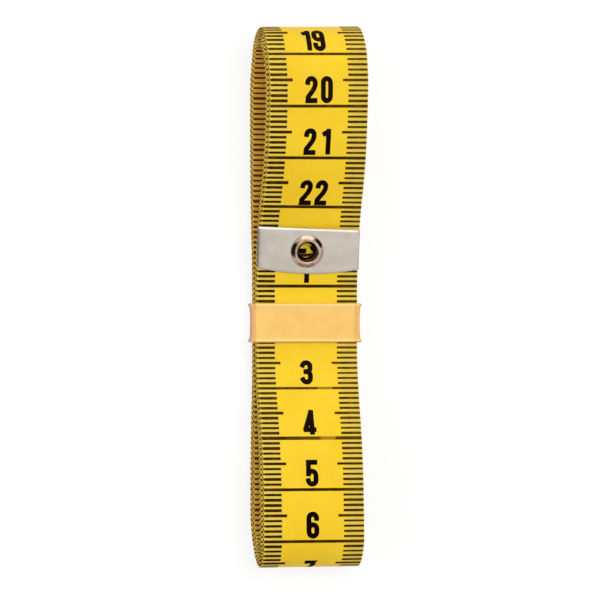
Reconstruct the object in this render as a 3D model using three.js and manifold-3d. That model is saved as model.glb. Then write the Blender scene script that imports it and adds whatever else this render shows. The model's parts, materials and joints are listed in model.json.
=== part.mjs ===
// A cloth tape measure wound into a flat hank and held at the waist by a wide rubber band.
// The hank lies on its broad side: X runs across the tape, Y along the hank and Z up.
// The free end of the tape, with its metal tip and eyelet, lies on top above the band.

import * as THREE from 'three';
import { mergeVertices } from 'three/addons/utils/BufferGeometryUtils.js';
import Module from 'manifold-3d';

const wasm = await Module();
wasm.setup();

// Tape, in millimetres
const TAPE_WIDTH = 20;
const TAPE_THICKNESS = 0.3;

// Hank: outer sizes of the winding and the step from one turn to the next
const TURN_COUNT = 3;
const HANK_LENGTH = 104.7;
const UPPER_LOOP_HEIGHT = 15.9;
const LOWER_LOOP_HEIGHT = 11.8;
const UPPER_CREST_INSET = 8.5;
const LOWER_CREST_INSET = 8;
const UPPER_FOOT_INSET = 12.5;
const LOWER_FOOT_INSET = 10;
const FOOT_RUN = 7;
const WAIST_PITCH = 0.7167;
const UPPER_LOOP_PITCH = 1.6;
const LOWER_LOOP_PITCH = 1.2;

// Rubber band round the waist
const BAND_CENTRE_Y = -5;
const BAND_WIDTH = 7.6;
const BAND_THICKNESS = 0.5;
const BAND_CLEARANCE = 0.2;
const BAND_CORNER_RADIUS = 0.9;
const BAND_TABLE_GAP = 0.6;
const WAIST_MARGIN = 0.3;

// Free end: where it bends up from the winding and how far it reaches
const HINGE_TO_BAND = 1.2;
const FREE_END_REACH = 13.3;
const ROOT_SETBACK = 0.1;
const ROOT_GAP = 0.08;
const FREE_END_CLEARANCE = 0.3;

// Folded metal tips
const TIP_LENGTH = 9.3;
const TIP_SHEET = 0.2;
const TIP_OVERHANG = 0.1;
const TIP_EDGE_BULGE = 1;
const CRIMP_GAP = 0.1;
const INNER_TIP_LEAD = 0.3;

// Eyelet through the tip of the free end
const EYELET_HOLE_DIAMETER = 3.8;
const EYELET_FLANGE_DIAMETER = 6.6;
const EYELET_RIM_DIAMETER = 5.6;
const EYELET_WALL = 0.25;
const EYELET_FLANGE_HEIGHT = 0.45;
const EYELET_RIM_HEIGHT = 0.25;
const EYELET_TO_FOLD = 4.8;
const EYELET_GAP = 0.1;

// Smoothness of the facets
const SLOPE_STEPS = 8;
const END_STEPS = 7;
const RUN_STEPS = 1;
const ROUND_SEGMENTS = 32;
const CORNER_SEGMENTS = 5;
const MERGE_DISTANCE = 1e-4;

// Bezier handles, as shares of a slope's run or of an end's quarter
const CREST_HANDLE = 0.55;
const WAIST_HANDLE = 0.32;
const FOOT_HANDLE = 0.5;
const ROUND_HANDLE = 0.6;

// Heights and places worked out from the sizes above
const waistUnderZ = BAND_TABLE_GAP + BAND_THICKNESS + BAND_CLEARANCE;
const waistHeight = 2 * TURN_COUNT * WAIST_PITCH + TAPE_THICKNESS;
const waistTopZ = waistUnderZ + waistHeight;
const bandUpperY = BAND_CENTRE_Y + BAND_WIDTH / 2;
const bandLowerY = BAND_CENTRE_Y - BAND_WIDTH / 2;
const hingeY = bandUpperY + HINGE_TO_BAND;
const waistLowerY = bandLowerY - WAIST_MARGIN;
const upperEndY = HANK_LENGTH / 2;
const lowerEndY = -HANK_LENGTH / 2;
const innerEndY = hingeY + INNER_TIP_LEAD - TIP_LENGTH;
const tipWidth = TAPE_WIDTH + 2 * TIP_OVERHANG;

// Materials
const tapeCloth = new THREE.MeshStandardMaterial({ color: 0xf4d139, roughness: 0.55, metalness: 0 });
const tipSteel = new THREE.MeshStandardMaterial({ color: 0xc8c1b5, roughness: 0.35, metalness: 0.9 });
const eyeletBrass = new THREE.MeshStandardMaterial({ color: 0xb9a58c, roughness: 0.25, metalness: 1 });
const latex = new THREE.MeshStandardMaterial({ color: 0xf7ca78, roughness: 0.5, metalness: 0 });

// The side view: a profile drawn as (along, up) is extruded across the tape.
const sideView = new THREE.Group();
const sideAxes = new THREE.Matrix4().makeBasis(
  new THREE.Vector3(0, 1, 0),
  new THREE.Vector3(0, 0, 1),
  new THREE.Vector3(1, 0, 0),
);
sideView.quaternion.setFromRotationMatrix(sideAxes);

const point = (along, up) => new THREE.Vector2(along, up);
const blend = (from, to, share) => from + (to - from) * share;
const ease = (share) => share * share * (3 - 2 * share);

// A run between two level points, which leaves each of them level
function slope(from, to, fromHandle, toHandle) {
  const run = to.x - from.x;
  return new THREE.CubicBezierCurve(
    from,
    point(from.x + run * fromHandle, from.y),
    point(to.x - run * toHandle, to.y),
    to,
  );
}

// A quarter of a loop's round end, from a level point to the upright one or back
function quarter(from, to, startsLevel) {
  const run = (to.x - from.x) * ROUND_HANDLE;
  const rise = (to.y - from.y) * ROUND_HANDLE;
  const leave = startsLevel ? point(from.x + run, from.y) : point(from.x, from.y + rise);
  const arrive = startsLevel ? point(to.x, to.y - rise) : point(to.x - run, to.y);
  return new THREE.CubicBezierCurve(from, leave, arrive, to);
}

// One turn of the hank's outer face: stretches of curve, each with its steps, the pitch
// between turns at its two ends, and whether the tape drops to the next turn along it.
function outerTurn() {
  const start = point(hingeY, waistTopZ);
  const waistTopLow = point(waistLowerY, waistTopZ);
  const lowerCrest = point(lowerEndY + LOWER_CREST_INSET, LOWER_LOOP_HEIGHT);
  const lowerEnd = point(lowerEndY, LOWER_LOOP_HEIGHT / 2);
  const lowerHeel = point(lowerEndY + LOWER_FOOT_INSET, 0);
  const lowerToe = point(lowerHeel.x + FOOT_RUN, 0);
  const waistUnderLow = point(waistLowerY, waistUnderZ);
  const waistUnderHigh = point(hingeY, waistUnderZ);
  const upperHeel = point(upperEndY - UPPER_FOOT_INSET, 0);
  const upperToe = point(upperHeel.x - FOOT_RUN, 0);
  const upperEnd = point(upperEndY, UPPER_LOOP_HEIGHT / 2);
  const upperCrest = point(upperEndY - UPPER_CREST_INSET, UPPER_LOOP_HEIGHT);
  const line = (from, to) => new THREE.LineCurve(from, to);
  const stretch = (curve, steps, pitches, drops = false) => ({ curve, steps, pitches, drops });
  const waist = [WAIST_PITCH, WAIST_PITCH];
  const lower = [LOWER_LOOP_PITCH, LOWER_LOOP_PITCH];
  const upper = [UPPER_LOOP_PITCH, UPPER_LOOP_PITCH];
  const toLower = [WAIST_PITCH, LOWER_LOOP_PITCH];
  const fromLower = [LOWER_LOOP_PITCH, WAIST_PITCH];
  const toUpper = [WAIST_PITCH, UPPER_LOOP_PITCH];
  const fromUpper = [UPPER_LOOP_PITCH, WAIST_PITCH];
  return [
    stretch(line(start, waistTopLow), RUN_STEPS, waist),
    stretch(slope(waistTopLow, lowerCrest, WAIST_HANDLE, CREST_HANDLE), SLOPE_STEPS, toLower),
    stretch(quarter(lowerCrest, lowerEnd, true), END_STEPS, lower),
    stretch(quarter(lowerEnd, lowerHeel, false), END_STEPS, lower),
    stretch(line(lowerHeel, lowerToe), RUN_STEPS, lower),
    stretch(slope(lowerToe, waistUnderLow, FOOT_HANDLE, FOOT_HANDLE), SLOPE_STEPS, fromLower),
    stretch(line(waistUnderLow, waistUnderHigh), RUN_STEPS, waist),
    stretch(slope(waistUnderHigh, upperToe, FOOT_HANDLE, FOOT_HANDLE), SLOPE_STEPS, toUpper),
    stretch(line(upperToe, upperHeel), RUN_STEPS, upper),
    stretch(quarter(upperHeel, upperEnd, true), END_STEPS, upper),
    stretch(quarter(upperEnd, upperCrest, false), END_STEPS, upper),
    stretch(slope(upperCrest, start, CREST_HANDLE, WAIST_HANDLE), SLOPE_STEPS, fromUpper, true),
  ];
}

// A point of the tape's centre line, moved in from the outer face by the turns outside it
function windingPoint({ curve, pitches, drops }, share, turn) {
  const outer = curve.getPoint(share);
  const tangent = curve.getTangent(share);
  const inward = point(-tangent.y, tangent.x);
  const pitch = blend(pitches[0], pitches[1], ease(share));
  const depth = (turn + (drops ? ease(share) : 0)) * pitch + TAPE_THICKNESS / 2;
  return outer.addScaledVector(inward, depth);
}

// The whole winding, from the free end's hinge line to the inner end. The inner end comes down
// the upper slope last and stops in the middle of the waist, straight in its tip.
function windingLine() {
  const stretches = outerTurn();
  const points = [];
  for (let turn = 0; turn < TURN_COUNT; turn += 1) {
    stretches.forEach((stretch) => {
      for (let step = 0; step < stretch.steps; step += 1) {
        points.push(windingPoint(stretch, step / stretch.steps, turn));
      }
    });
  }
  const waistMiddle = windingPoint(stretches.at(-1), 1, TURN_COUNT - 1);
  points.push(waistMiddle, point(innerEndY, waistMiddle.y));
  points[0].x = hingeY - Math.hypot(ROOT_SETBACK, TAPE_THICKNESS / 2) - ROOT_GAP;
  return points;
}

// A flat strip along a line in the side view, as a closed outline of the tape's thickness
function stripOutline(line, thickness) {
  const normals = line.map((_, index) => {
    const before = line[Math.max(index - 1, 0)];
    const after = line[Math.min(index + 1, line.length - 1)];
    const along = after.clone().sub(before).normalize();
    return point(-along.y, along.x);
  });
  const side = (offset) => line.map((at, index) => at.clone().addScaledVector(normals[index], offset));
  return [...side(thickness / 2), ...side(-thickness / 2).reverse()];
}

function extrudeAcross(outline, width) {
  const geometry = new THREE.ExtrudeGeometry(new THREE.Shape(outline), {
    depth: width,
    bevelEnabled: false,
    curveSegments: CORNER_SEGMENTS,
  });
  return geometry.translate(0, 0, -width / 2);
}

// Solids for joins and cuts
function toSolid(geometry) {
  const bare = new THREE.BufferGeometry();
  bare.setAttribute('position', geometry.getAttribute('position').clone());
  if (geometry.index) bare.setIndex(geometry.index.clone());
  const merged = mergeVertices(bare, MERGE_DISTANCE);
  return new wasm.Manifold(new wasm.Mesh({
    numProp: 3,
    vertProperties: new Float32Array(merged.getAttribute('position').array),
    triVerts: new Uint32Array(merged.index.array),
  }));
}

function toGeometry(solid) {
  const { vertProperties, triVerts } = solid.getMesh();
  const geometry = new THREE.BufferGeometry();
  geometry.setAttribute('position', new THREE.BufferAttribute(new Float32Array(vertProperties), 3));
  geometry.setIndex(new THREE.BufferAttribute(new Uint32Array(triVerts), 1));
  return geometry;
}

function namedMesh(name, geometry, material) {
  const mesh = new THREE.Mesh(geometry, material);
  mesh.name = name;
  return mesh;
}

// The least gap between the faces of turns that lie beside each other
function leastGap(line) {
  const travelled = [0];
  line.slice(1).forEach((at, index) => travelled.push(travelled[index] + at.distanceTo(line[index])));
  const apart = HANK_LENGTH / 2;
  const foot = new THREE.Vector3();
  let least = Infinity;
  for (let segment = 1; segment < line.length; segment += 1) {
    const from = line[segment - 1];
    const to = line[segment];
    const edge = new THREE.Line3(new THREE.Vector3(from.x, from.y, 0), new THREE.Vector3(to.x, to.y, 0));
    line.forEach((at, index) => {
      if (Math.abs(travelled[index] - travelled[segment]) < apart) return;
      const place = new THREE.Vector3(at.x, at.y, 0);
      edge.closestPointToPoint(place, true, foot);
      least = Math.min(least, foot.distanceTo(place) - TAPE_THICKNESS);
    });
  }
  return least;
}

// A metal tip: a sheet folded over the tape's end. Its frame has the tape's end at the
// origin, the way out of the tape along x and the tape's upper face along y.
const tipCavity = TAPE_THICKNESS / 2 + CRIMP_GAP;
const tipOuter = tipCavity + TIP_SHEET;
const foldX = CRIMP_GAP + TIP_SHEET;
const eyeletX = foldX - EYELET_TO_FOLD;
const eyeletHoleRadius = EYELET_HOLE_DIAMETER / 2 + EYELET_WALL + EYELET_GAP;

function foldedTip(hasEyelet) {
  const mouthX = foldX - TIP_LENGTH;
  const profile = new THREE.Shape();
  profile.moveTo(mouthX, tipOuter);
  profile.lineTo(foldX - tipOuter, tipOuter);
  profile.absarc(foldX - tipOuter, 0, tipOuter, Math.PI / 2, -Math.PI / 2, true);
  profile.lineTo(mouthX, -tipOuter);
  profile.lineTo(mouthX, -tipCavity);
  profile.lineTo(CRIMP_GAP, -tipCavity);
  profile.lineTo(CRIMP_GAP, tipCavity);
  profile.lineTo(mouthX, tipCavity);
  const sheet = toSolid(extrudeAcross(profile.getPoints(CORNER_SEGMENTS * 2), tipWidth));
  const sideX = mouthX + TIP_EDGE_BULGE;
  const halfWidth = tipWidth / 2;
  const outline = new THREE.Shape();
  outline.moveTo(foldX + TIP_SHEET, halfWidth + TIP_SHEET);
  outline.lineTo(sideX, halfWidth + TIP_SHEET);
  outline.lineTo(sideX, halfWidth);
  outline.quadraticCurveTo(mouthX - TIP_EDGE_BULGE, 0, sideX, -halfWidth);
  outline.lineTo(sideX, -halfWidth - TIP_SHEET);
  outline.lineTo(foldX + TIP_SHEET, -halfWidth - TIP_SHEET);
  if (hasEyelet) {
    const hole = new THREE.Path();
    hole.absarc(eyeletX, 0, eyeletHoleRadius, 0, Math.PI * 2);
    outline.holes.push(hole);
  }
  const cutter = new THREE.ExtrudeGeometry(outline, {
    depth: 4 * tipOuter,
    bevelEnabled: false,
    curveSegments: ROUND_SEGMENTS / 2,
  });
  cutter.translate(0, 0, -2 * tipOuter);
  cutter.rotateX(-Math.PI / 2);
  return toGeometry(sheet.intersect(toSolid(cutter)));
}

// The eyelet: a barrel through the tip, a domed flange on the face and a turned rim behind
function eyeletGeometry() {
  const bore = EYELET_HOLE_DIAMETER / 2;
  const barrel = bore + EYELET_WALL;
  const flange = EYELET_FLANGE_DIAMETER / 2;
  const rim = EYELET_RIM_DIAMETER / 2;
  const seat = tipOuter + EYELET_GAP;
  const crown = seat + EYELET_FLANGE_HEIGHT;
  const rimBottom = -seat - EYELET_RIM_HEIGHT;
  const profile = new THREE.Path();
  profile.moveTo(bore, rimBottom);
  profile.lineTo(rim, rimBottom);
  profile.lineTo(rim, -seat);
  profile.lineTo(barrel, -seat);
  profile.lineTo(barrel, seat);
  profile.lineTo(flange, seat);
  profile.quadraticCurveTo(flange, crown, (flange + bore) / 2, crown);
  profile.quadraticCurveTo(bore, crown, bore, seat);
  profile.lineTo(bore, rimBottom);
  return new THREE.LatheGeometry(profile.getPoints(CORNER_SEGMENTS), ROUND_SEGMENTS);
}

// Winding
const windingCentre = windingLine();
const windingGeometry = extrudeAcross(stripOutline(windingCentre, TAPE_THICKNESS), TAPE_WIDTH);
const winding = namedMesh('tape_winding', windingGeometry, tapeCloth);
sideView.add(winding);
console.log(`least gap between turns of the winding: ${leastGap(windingCentre).toFixed(3)} mm`);

// Tip of the inner end, on the last straight run of the winding
const innerEnd = windingCentre.at(-1);
const innerAlong = innerEnd.clone().sub(windingCentre.at(-2));
const innerTip = new THREE.Group();
innerTip.position.set(innerEnd.x, innerEnd.y, 0);
innerTip.rotation.z = innerAlong.angle();
innerTip.add(namedMesh('inner_tip_plate', foldedTip(false), tipSteel));
sideView.add(innerTip);

// The straight stretch of the free end lies over the slope below it, clear of the eyelet's
// rim: its angle is the slope's under the tip and its height clears every point there.
function freeEndTip() {
  const stretch = outerTurn().at(-1);
  const tipEndY = hingeY + FREE_END_REACH;
  const below = [];
  const samples = SLOPE_STEPS * END_STEPS;
  for (let step = 0; step <= samples; step += 1) {
    const at = windingPoint(stretch, step / samples, 0);
    if (at.x > hingeY && at.x < tipEndY + TIP_SHEET) below.push(at);
  }
  const underTip = below.filter((at) => at.x > tipEndY - TIP_LENGTH);
  const angle = underTip[0].clone().sub(underTip.at(-1)).angle();
  const stack = tipOuter + EYELET_GAP + EYELET_RIM_HEIGHT + FREE_END_CLEARANCE + TAPE_THICKNESS / 2;
  const lift = stack / Math.cos(angle);
  const heights = underTip.map((at) => at.y + lift + (tipEndY - at.x) * Math.tan(angle));
  return { y: tipEndY, z: Math.max(...heights), angle };
}

const tipPlace = freeEndTip();
const tipFrame = new THREE.Group();
tipFrame.position.set(tipPlace.y, tipPlace.z, 0);
tipFrame.rotation.z = tipPlace.angle;
tipFrame.add(namedMesh('tip_plate', foldedTip(true), tipSteel));
const eyelet = namedMesh('eyelet', eyeletGeometry(), eyeletBrass);
eyelet.position.x = eyeletX;
tipFrame.add(eyelet);
sideView.add(tipFrame);

// Tape of the free end: bent up from the hinge line, then straight into its tip
function freeEndGeometry() {
  const out = point(Math.cos(tipPlace.angle), Math.sin(tipPlace.angle));
  const end = point(tipPlace.y, tipPlace.z);
  const straightStart = end.clone().addScaledVector(out, -TIP_LENGTH);
  const root = point(hingeY + ROOT_SETBACK, waistTopZ - TAPE_THICKNESS / 2);
  const bendRun = (straightStart.x - root.x) / 2;
  const bend = new THREE.CubicBezierCurve(
    root,
    point(root.x + bendRun, root.y),
    straightStart.clone().addScaledVector(out, -bendRun),
    straightStart,
  );
  const line = [...bend.getPoints(SLOPE_STEPS), end];
  const strip = toSolid(extrudeAcross(stripOutline(line, TAPE_THICKNESS), TAPE_WIDTH));
  const punch = new THREE.CylinderGeometry(eyeletHoleRadius, eyeletHoleRadius, 4 * tipOuter, ROUND_SEGMENTS);
  punch.translate(eyeletX, 0, 0);
  punch.rotateZ(tipPlace.angle);
  punch.translate(end.x, end.y, 0);
  return toGeometry(strip.subtract(toSolid(punch)));
}

sideView.add(namedMesh('tape_free_end', freeEndGeometry(), tapeCloth));

// Rubber band: a flat ring round the waist
function roundedRectangle(path, halfWidth, low, high, radius) {
  path.moveTo(halfWidth, low + radius);
  path.lineTo(halfWidth, high - radius);
  path.absarc(halfWidth - radius, high - radius, radius, 0, Math.PI / 2);
  path.lineTo(-halfWidth + radius, high);
  path.absarc(-halfWidth + radius, high - radius, radius, Math.PI / 2, Math.PI);
  path.lineTo(-halfWidth, low + radius);
  path.absarc(-halfWidth + radius, low + radius, radius, Math.PI, Math.PI * 1.5);
  path.lineTo(halfWidth - radius, low);
  path.absarc(halfWidth - radius, low + radius, radius, Math.PI * 1.5, Math.PI * 2);
  return path;
}

function bandGeometry() {
  const innerHalf = TAPE_WIDTH / 2 + BAND_CLEARANCE;
  const innerLow = waistUnderZ - BAND_CLEARANCE;
  const innerHigh = waistTopZ + BAND_CLEARANCE;
  const outerHalf = innerHalf + BAND_THICKNESS;
  const innerRadius = Math.max(BAND_CORNER_RADIUS - BAND_THICKNESS, BAND_CLEARANCE / 2);
  const ring = roundedRectangle(
    new THREE.Shape(),
    outerHalf,
    innerLow - BAND_THICKNESS,
    innerHigh + BAND_THICKNESS,
    BAND_CORNER_RADIUS,
  );
  ring.holes.push(roundedRectangle(new THREE.Path(), innerHalf, innerLow, innerHigh, innerRadius));
  return new THREE.ExtrudeGeometry(ring, {
    depth: BAND_WIDTH,
    bevelEnabled: false,
    curveSegments: CORNER_SEGMENTS,
  });
}

const band = namedMesh('rubber_band', bandGeometry(), latex);
band.rotation.x = Math.PI / 2;
band.position.y = bandUpperY;

const tapeMeasure = new THREE.Group();
tapeMeasure.add(sideView, band);

export default tapeMeasure;
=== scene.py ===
# Cloth tape measure: a hank of printed tape, two folded metal tips, an eyelet and a rubber band
import json
import math

import bmesh
import bpy
import numpy as np
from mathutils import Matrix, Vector

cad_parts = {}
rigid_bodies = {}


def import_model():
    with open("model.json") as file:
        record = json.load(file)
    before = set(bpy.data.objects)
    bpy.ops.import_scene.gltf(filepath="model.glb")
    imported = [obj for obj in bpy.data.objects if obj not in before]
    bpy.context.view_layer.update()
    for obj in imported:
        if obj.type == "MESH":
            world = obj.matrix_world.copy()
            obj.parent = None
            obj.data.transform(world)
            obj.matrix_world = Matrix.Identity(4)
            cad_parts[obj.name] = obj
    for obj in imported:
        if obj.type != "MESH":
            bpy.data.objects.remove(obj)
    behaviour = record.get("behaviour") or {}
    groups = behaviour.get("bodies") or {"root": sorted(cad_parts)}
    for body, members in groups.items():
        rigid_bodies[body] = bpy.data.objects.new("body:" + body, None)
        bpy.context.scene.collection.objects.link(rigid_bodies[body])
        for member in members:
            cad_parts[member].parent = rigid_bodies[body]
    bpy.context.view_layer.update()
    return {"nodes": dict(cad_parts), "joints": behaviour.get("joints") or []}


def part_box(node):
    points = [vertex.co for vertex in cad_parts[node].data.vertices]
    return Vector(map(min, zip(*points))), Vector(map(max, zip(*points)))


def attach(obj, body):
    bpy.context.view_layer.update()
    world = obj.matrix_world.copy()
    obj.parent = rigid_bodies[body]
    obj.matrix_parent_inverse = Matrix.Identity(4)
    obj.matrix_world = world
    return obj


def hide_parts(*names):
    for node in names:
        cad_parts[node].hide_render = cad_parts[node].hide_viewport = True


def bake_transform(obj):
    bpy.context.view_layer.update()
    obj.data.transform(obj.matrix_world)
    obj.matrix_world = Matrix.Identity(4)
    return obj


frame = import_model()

MM = 0.001
CM = 10 * MM

# Tape: its section, and the seam between the free end and the hank, measured from the zero end
TAPE_WIDTH = 20 * MM
TAPE_THICKNESS = 0.25 * MM
HALF_WIDTH = TAPE_WIDTH / 2
HALF_THICKNESS = TAPE_THICKNESS / 2
STRAIGHT = HALF_WIDTH - HALF_THICKNESS
TURN_COUNT = 7
ZERO_INSET = 1.61 * MM
SEAM = 18 * MM
SEAM_GAP = 0.04 * MM
FACE_COLUMNS = 6
EDGE_STEPS = 4
STATION_DECIMALS = 8

# Map of the tape: its rows, and the margins round a row and round the tape's cut ends
MAP_ROW_ASPECT = 1.05
MAP_END_MARGIN = 0.004
MAP_ROW_MARGIN = 0.02
MAP_CAP_MARGIN = 0.002
MAP_CAP_DEPTH = 0.003
MAP_CAP_SHARE = 0.9

# Route of the tape: steps along it, and the straight lead beyond each of its ends
PATH_STEP = 0.5 * MM
PATH_LEAD = 5 * MM
CURVE_STEP = 0.25 * MM
FEWEST_STEPS = 4
MEASURE_STEPS = 40
BEND_STEPS = 24

# Tests for a stretch that turns square, in square metres, and for a face that looks up
SQUARE_TURN = 1e-12
LOOKS_UP = 0.5

# Outer turn of the hank, seen from the side: handles and end rises are shares of a run or height
WAIST_HANDLE = 0.32
WAIST_MARGIN = 0.3 * MM
FOOT_HANDLE = 0.5
LOWER_LOOP_HEIGHT = 11.94 * MM
LOWER_LOOP = {
    "crest_inset": 8.39 * MM,
    "foot_inset": 6.52 * MM,
    "foot_run": 10 * MM,
    "end_rise": 0.547,
    "crest_handle": 0.55,
    "round_handle": 0.581,
    "slant_handle": 0.479,
}
UPPER_LOOP = {
    "crest_inset": 7.84 * MM,
    "foot_inset": 10.3 * MM,
    "foot_run": 7 * MM,
    "end_rise": 0.561,
    "crest_handle": 0.625,
    "round_handle": 0.567,
    "slant_handle": 0.591,
}

# Step from one turn to the next, in millimetres
SPACING = {"waist": 0.281, "lower": 0.58, "lower_end": 0.74, "upper": 0.47, "upper_end": 0.5}

# A turn's last stretch: the dip under the eyelet, its start, and the share in which the tape drops
EYELET_DIP = 0.42 * MM
DIP_START = 0.2
DROP_SHARE = 0.6

# Tilt of the front runs, in degrees at places along the hank in millimetres: the left edge is higher
TILT = (
    (-52.4, 4), (-47, 1.4), (-37, 2), (-27, 1.4), (-12, 0), (4, 0), (9, 0.8), (13.6, 2.5),
    (17.4, 4.4), (27, 5.8), (37, 6.6), (42, 5.6), (47.5, 4.2), (52.4, 7.1),
)

# Turn of the front runs in their own plane, in degrees at such places: above 0 the right edge is ahead
YAW = (
    (-52.4, -0.4), (-37, -0.4), (-12, 0), (4, -0.1), (17.4, -0.1), (27, 0.5), (37, 1), (48.5, 1.2),
    (52.4, 1.7),
)

# Sideways place of the front and back runs, in millimetres at such places
FRONT_ASIDE = (
    (-51, 0.17), (-48.5, 0.14), (-44.5, 0.03), (-42, 0), (40, 0), (42.5, -0.08), (46.5, -0.35),
    (49, -0.43),
)
BACK_ASIDE = (
    (-51, 0.55), (-48.5, 0.45), (-44.5, 0.1), (-42, 0), (4, 0), (8, -0.04), (12, -0.1), (16, -0.14),
    (40, -0.14), (42.5, -0.08), (46.5, 0.12), (49, 0.18),
)

# Sideways wander of the turns, the run along which it sets in, and the free end's set to the left
WANDER = -0.05 * MM
WANDER_LENGTHS = (171 * MM, 263 * MM)
WANDER_RUN = 40 * MM
FLAP_ASIDE = -0.5 * MM
FLAP_ASIDE_RUN = 15 * MM

# Folded tips
TIP_LENGTH = 9.3 * MM
TIP_WIDTH = 20.2 * MM
TIP_SHEET = 0.2 * MM
TIP_FOLD = 0.3 * MM
TIP_MIDDLE = 0.35 * MM
TIP_FOLD_RUN = 0.7 * MM
TIP_SHORT = 0.18 * MM
TIP_BULGE = 1 * MM
TIP_SKEW = 0.32 * MM
TIP_MOUTH_SKEW = 0.16 * MM
TIP_CROWN = 0.05 * MM
TIP_CROWN_POWER = 4
TIP_EDGE = 0.06 * MM
TIP_EDGE_STEPS = 2
TIP_EDGE_ANGLE = 50
TIP_SMOOTH_ANGLE = 40
TIP_COLUMNS = 22
TIP_RUN_STEPS = 12
TIP_FOLD_STEPS = 12
INNER_TIP_MIDDLE = 0.235 * MM
INNER_TIP_WIDTH = 19.8 * MM
INNER_TIP_SHORT = 0.5 * MM

# Eyelet: its place, and the radii of its section from the outside in
EYELET_TO_FOLD = 4.8 * MM
EYELET_ASIDE = -0.3 * MM
EYELET_ALONG = EYELET_TO_FOLD - TIP_FOLD
EYELET_FLANGE = 3.3 * MM
EYELET_SHOULDER = 3.27 * MM
EYELET_CROWN = 2.49 * MM
EYELET_CREST = 2.28 * MM
EYELET_BACK_RIM = 2.2 * MM
EYELET_BARREL = 2.15 * MM
EYELET_BORE = 2.02 * MM
EYELET_FUNNEL = 1.55 * MM
EYELET_BACK_BORE = 1.5 * MM

# Eyelet: heights and rounds of its parts, and the bore's top and foot as shares of the seat's height
SHOULDER_HEIGHT = 0.1 * MM
CROWN_RISE = 0.37 * MM
CROWN_POWER = 1.25
THROAT_HEIGHT = 0.28 * MM
THROAT_ROUND = 0.22 * MM
BACK_RIM_ROUND = 0.24 * MM
BORE_TOP = 0.7
BORE_FOOT = -0.6

# Eyelet: steps and angles of its parts, and the punch for its hole
CROWN_STEPS = 8
THROAT_STEPS = 8
BACK_RIM_STEPS = 10
EYELET_SEGMENTS = 64
EYELET_SMOOTH_ANGLE = 50
THROAT_START = 60
PUNCH_RADIUS = 2.25 * MM
PUNCH_SEGMENTS = 48
PUNCH_HEIGHT = 4 * MM

# Rubber band: the wall is the CAD band's thickness and clearance together
BAND_WALL = 0.7 * MM
BAND_CLEARANCE = 0.14 * MM
BAND_THICKNESS = 0.42 * MM
BAND_EDGE = 0.2 * MM
BAND_LIP = 0.18 * MM
BAND_LIP_INSET = 0.34 * MM
BAND_LIP_WIDTH = 0.24 * MM
BAND_FLARE = 0.34 * MM
BAND_FLARE_POWER = 4
BAND_CORNER = 0.8 * MM
BAND_ASIDE = 0.08 * MM
BAND_CREASE = 0.1 * MM
BAND_CREASE_WIDTH = 0.2 * MM
BAND_STEPS = 36
BAND_CORNER_STEPS = 6
BAND_SIDE_STEPS = 8
BAND_FACE_STEPS = 60

# Printed scale: the ink, the marks and the places of the numbers
INK_TOP = HALF_THICKNESS + 0.02 * MM
INK_FOOT = HALF_THICKNESS - 0.03 * MM
STROKE_DROP = 0.005 * MM
MARK_WIDTH = 0.5 * MM
HALF_MARK_WIDTH = 0.58 * MM
LINE_WIDTH = 0.61 * MM
LINE_STATIONS = (-0.5, 0, 0.5)
EDGE_INK_SHARE = 0.74
BACK_INK_SHARE = 0.64
SIDE_INK_SHARES = (1.08, 0.95)
EDGE_INK_RUN = 0.25 * MM
SHORT_MARKS = (3.5 * MM, 4.1 * MM)
HALF_MARKS = (4.56 * MM, 5.2 * MM)
THINNEST_MARK = 0.82
THICKEST_MARK = 1.12
MARK_SEED = 11
NUMERAL_ASIDE = -0.33 * MM
NUMERAL_STEP = 3.13 * MM
NUMERAL_GAP = 0.56 * MM
TENS_SHIFT = 0.25 * MM
LEADING_ONE_SHIFT = -0.67 * MM
LEADING_ONE_CLOSER = 0.25 * MM
LONE_ONE_SHARE = 0.66
LATE_NUMBERS = 22
LATE_CLOSER = 0.2 * MM

# Marks from a line or half to the next, and the margins with which whole numbers are tested and cut
MARKS_TO_LINE = 10
MARKS_TO_HALF = 5
TEST_MARGIN = 0.1
CUT_MARGIN = 0.01

# Digits: their size, and how a stroke is cut, leaned and capped
DIGIT_WIDTH = 2.54 * MM
DIGIT_HEIGHT = 5.2 * MM
DIGIT_STROKE = 0.98 * MM
ARC_STEPS = 7
STROKE_STEP = 0.42 * MM
DOUBLED = 0.02 * MM
CLOSED = 0.03 * MM
LEAST_LEAN = 0.6
STROKE_CAPS = ((0.6, 1), (0.8, 0.7))

# Pairs of colours that are mixed, as they look on a screen, 0 to 255
COAT = ((240, 197, 33), (248, 210, 43))
MARK_INK = ((54, 31, 1), (108, 76, 14))
NUMBER_INK = ((8, 2, 1), (44, 27, 8))
PLATE = ((208, 200, 189), (200, 192, 180))
NICKEL = ((205, 180, 162), (170, 140, 120))
LATEX = ((247, 203, 118), (243, 194, 104))
# Painted shade on the band's side walls: darker low down, lighter higher up
BAND_SIDE_SHADE = ((132, 86, 64), (236, 172, 96))

# Patches: a noise's scale and detail, the levels between which they rise, and how far if not to 1
COAT_CLOUDS = (90, 3, (0.3, 0.7))
COAT_SPECKS = (2600, 2, (0.35, 0.65))
INK_WEAR = (420, 2, (0.54, 0.72), 0.4)
INK_PITS = (5200, 2, (0.5, 0.8), 0.25)
INK_BLOTCHES = (700, 2, (0.36, 0.64), 0.75)
PLATE_MARKS = (330, 4, (0.35, 0.7))
NICKEL_MARKS = (900, 3, (0.4, 0.7))
LATEX_CLOUDS = (300, 3, (0.3, 0.7))
LATEX_SPECKS = (3000, 2, (0.4, 0.7))

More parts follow.
